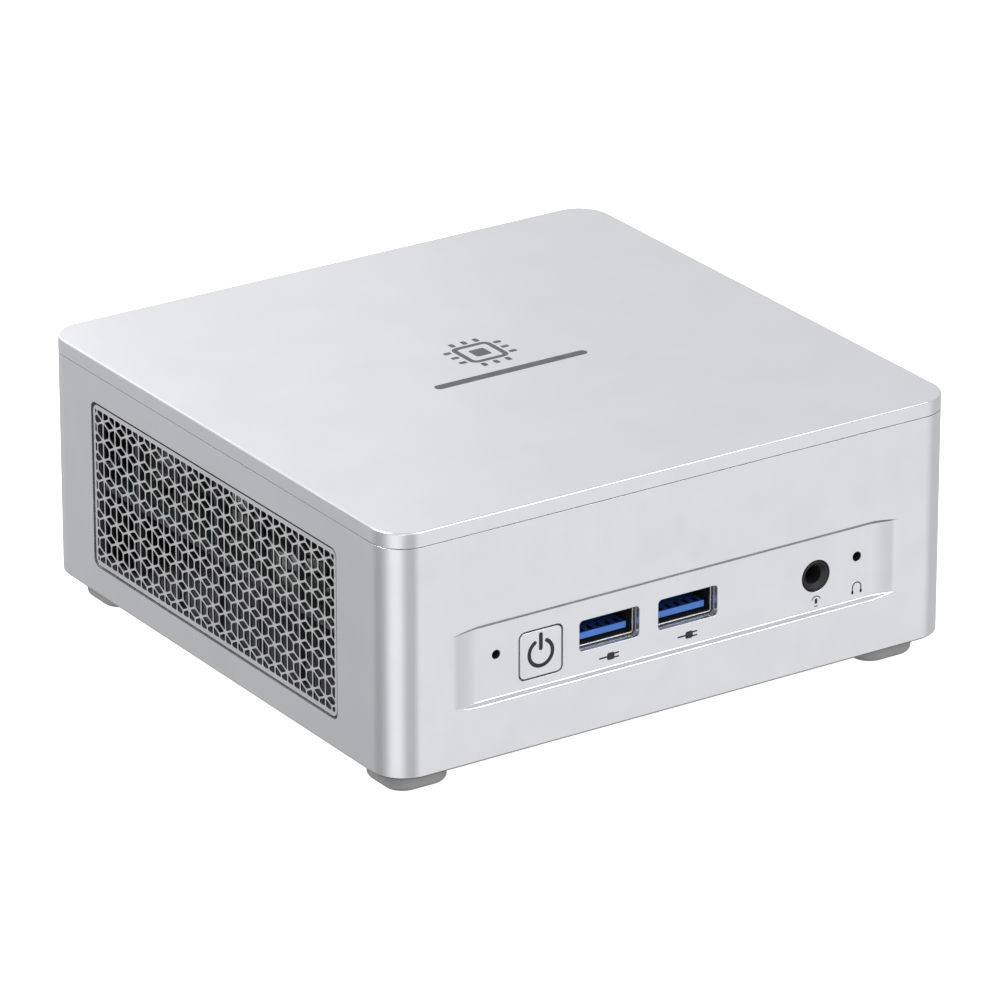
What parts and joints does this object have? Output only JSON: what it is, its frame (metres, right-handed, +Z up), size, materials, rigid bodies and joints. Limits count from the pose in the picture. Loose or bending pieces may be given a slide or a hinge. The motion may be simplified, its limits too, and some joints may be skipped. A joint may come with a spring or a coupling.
{
  "type": "mini pc",
  "caption": "Small square desktop computer in a flat silver case with front sockets and power button, vented sides, a lift-off lid and a cooled mainboard inside.",
  "frame": {"origin": "on the surface that the feet stand on, below the middle of the case", "axes": "+Z up, +X to the right seen from the front, -Y out of the front panel"},
  "size_m": [0.13, 0.1268, 0.0553],
  "materials": {
    "case_silver": "satin blasted and clear coated",
    "grille_silver": "satin, pierced",
    "foot_rubber": "matt",
    "screw_black": "black zinc",
    "zinc_steel": "bright zinc",
    "socket_plating": "nickel plated",
    "tongue_blue": "moulded",
    "black_plastic": "moulded",
    "board": "solder mask",
    "chip": "epoxy",
    "copper": "satin copper",
    "fin_aluminium": "mill"
  },
  "bodies": {
    "chassis": {"main_shell": "case_silver", "bottom_cover": "case_silver", "grille_left": "grille_silver", "grille_right": "grille_silver", "foot_front_left": "foot_rubber", "foot_front_right": "foot_rubber", "foot_rear_left": "foot_rubber", "foot_rear_right": "foot_rubber", "case_screw_1": "screw_black", "case_screw_2": "screw_black", "case_screw_3": "screw_black", "case_screw_4": "screw_black", "board_screw_1": "zinc_steel", "board_screw_2": "zinc_steel", "board_screw_3": "zinc_steel", "board_screw_4": "zinc_steel", "rear_io_plate": "zinc_steel", "blower_cover": "zinc_steel", "usb_front_left_shell": "socket_plating", "usb_front_right_shell": "socket_plating", "usb_rear_left": "socket_plating", "usb_rear_right": "socket_plating", "hdmi_port_left": "socket_plating", "hdmi_port_right": "socket_plating", "usb_c_port": "socket_plating", "ethernet_port": "socket_plating", "clock_battery": "socket_plating", "usb_front_left_tongue": "tongue_blue", "usb_front_right_tongue": "tongue_blue", "audio_jack": "black_plastic", "dc_inlet": "black_plastic", "power_switch": "black_plastic", "blower_housing": "black_plastic", "bay_fan_frame": "black_plastic", "memory_socket_lower": "black_plastic", "memory_socket_upper": "black_plastic", "ssd_socket": "black_plastic", "wifi_socket": "black_plastic", "antenna_left": "black_plastic", "antenna_right": "black_plastic", "antenna_lead_left": "black_plastic", "antenna_lead_right": "black_plastic", "mainboard": "board", "memory_module_lower": "board", "memory_module_upper": "board", "ssd_module": "board", "wifi_card": "board", "cpu_package": "chip", "microphone": "chip", "cold_plate": "copper", "heat_pipe_front": "copper", "heat_pipe_rear": "copper", "fin_stack": "fin_aluminium", "ssd_heatsink": "fin_aluminium", "fan_bracket": "fin_aluminium"},
    "lid": {"top_lid": "case_silver"},
    "button": {"power_button": "case_silver"},
    "blower_rotor": {"blower_impeller": "black_plastic"},
    "bay_rotor": {"bay_fan_rotor": "black_plastic"}
  },
  "joints": [
    {"name": "lid_lift", "type": "slide", "parent": "chassis", "child": "lid", "axis": [0, 0, 1], "range_m": [0, 0.06]},
    {"name": "power_press", "type": "slide", "parent": "chassis", "child": "button", "axis": [0, 1, 0], "range_m": [0, 0.0006], "stiffness_N_per_m": 1000, "springref_m": -0.0005},
    {"name": "blower_spin", "type": "hinge", "parent": "chassis", "child": "blower_rotor", "pos_m": [0.006, 0, 0.014], "axis": [0, 0, 1], "continuous": true},
    {"name": "bay_fan_spin", "type": "hinge", "parent": "chassis", "child": "bay_rotor", "pos_m": [0, -0.019, 0.048], "axis": [0, 0, 1], "continuous": true}
  ]
}
